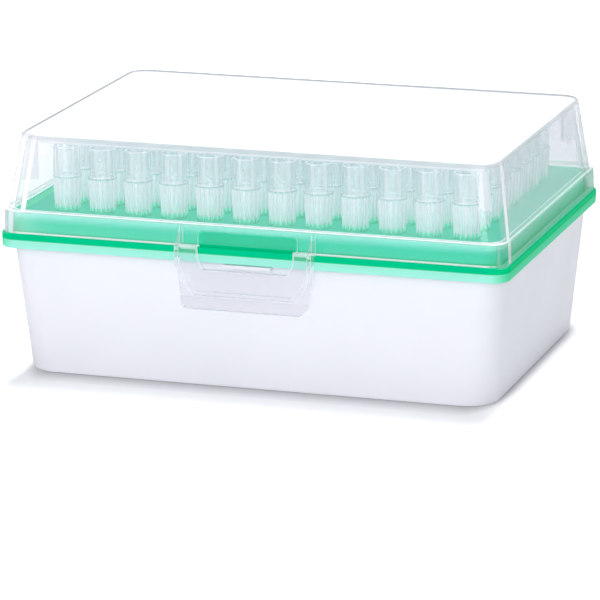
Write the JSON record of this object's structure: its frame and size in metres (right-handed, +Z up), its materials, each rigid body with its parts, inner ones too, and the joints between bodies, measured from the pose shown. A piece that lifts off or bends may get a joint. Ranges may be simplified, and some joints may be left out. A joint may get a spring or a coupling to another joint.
{
  "type": "pipette tip box",
  "caption": "Hinged box of pipette tips: a white tapered tub, a green perforated deck with conical tips hanging in a grid, and a clear lid with a front snap latch.",
  "frame": {"origin": "middle of the tub's flat bottom face", "axes": "+X to the right seen from the latch, +Y towards the hinge at the back, +Z up"},
  "size_m": [0.1252, 0.0995, 0.0581],
  "materials": {
    "tub": "satin, slightly translucent white",
    "deck": "glossy, translucent green",
    "lid": "polished, clear",
    "tip": "glossy, translucent natural"
  },
  "bodies": {
    "rack": {"tub": "tub", "deck": "deck", "tip_A1": "tip", "tip_A2": "tip", "tip_A3": "tip", "tip_A4": "tip", "tip_A5": "tip", "tip_A6": "tip", "tip_A7": "tip", "tip_A8": "tip", "tip_A9": "tip", "tip_A10": "tip", "tip_A11": "tip", "tip_A12": "tip", "tip_B1": "tip", "tip_B12": "tip", "tip_C1": "tip", "tip_C12": "tip", "tip_D1": "tip", "tip_D12": "tip", "tip_E1": "tip", "tip_E12": "tip", "tip_F1": "tip", "tip_F12": "tip", "tip_G1": "tip", "tip_G12": "tip", "tip_H1": "tip", "tip_H2": "tip", "tip_H3": "tip", "tip_H4": "tip", "tip_H5": "tip", "tip_H6": "tip", "tip_H7": "tip", "tip_H8": "tip", "tip_H9": "tip", "tip_H10": "tip", "tip_H11": "tip", "tip_H12": "tip"},
    "cover": {"lid": "lid"}
  },
  "joints": [
    {"name": "lid_hinge", "type": "hinge", "parent": "rack", "child": "cover", "pos_m": [0, 0.0479, 0.0333], "axis": [-1, 0, 0], "range_deg": [0, 110]}
  ]
}
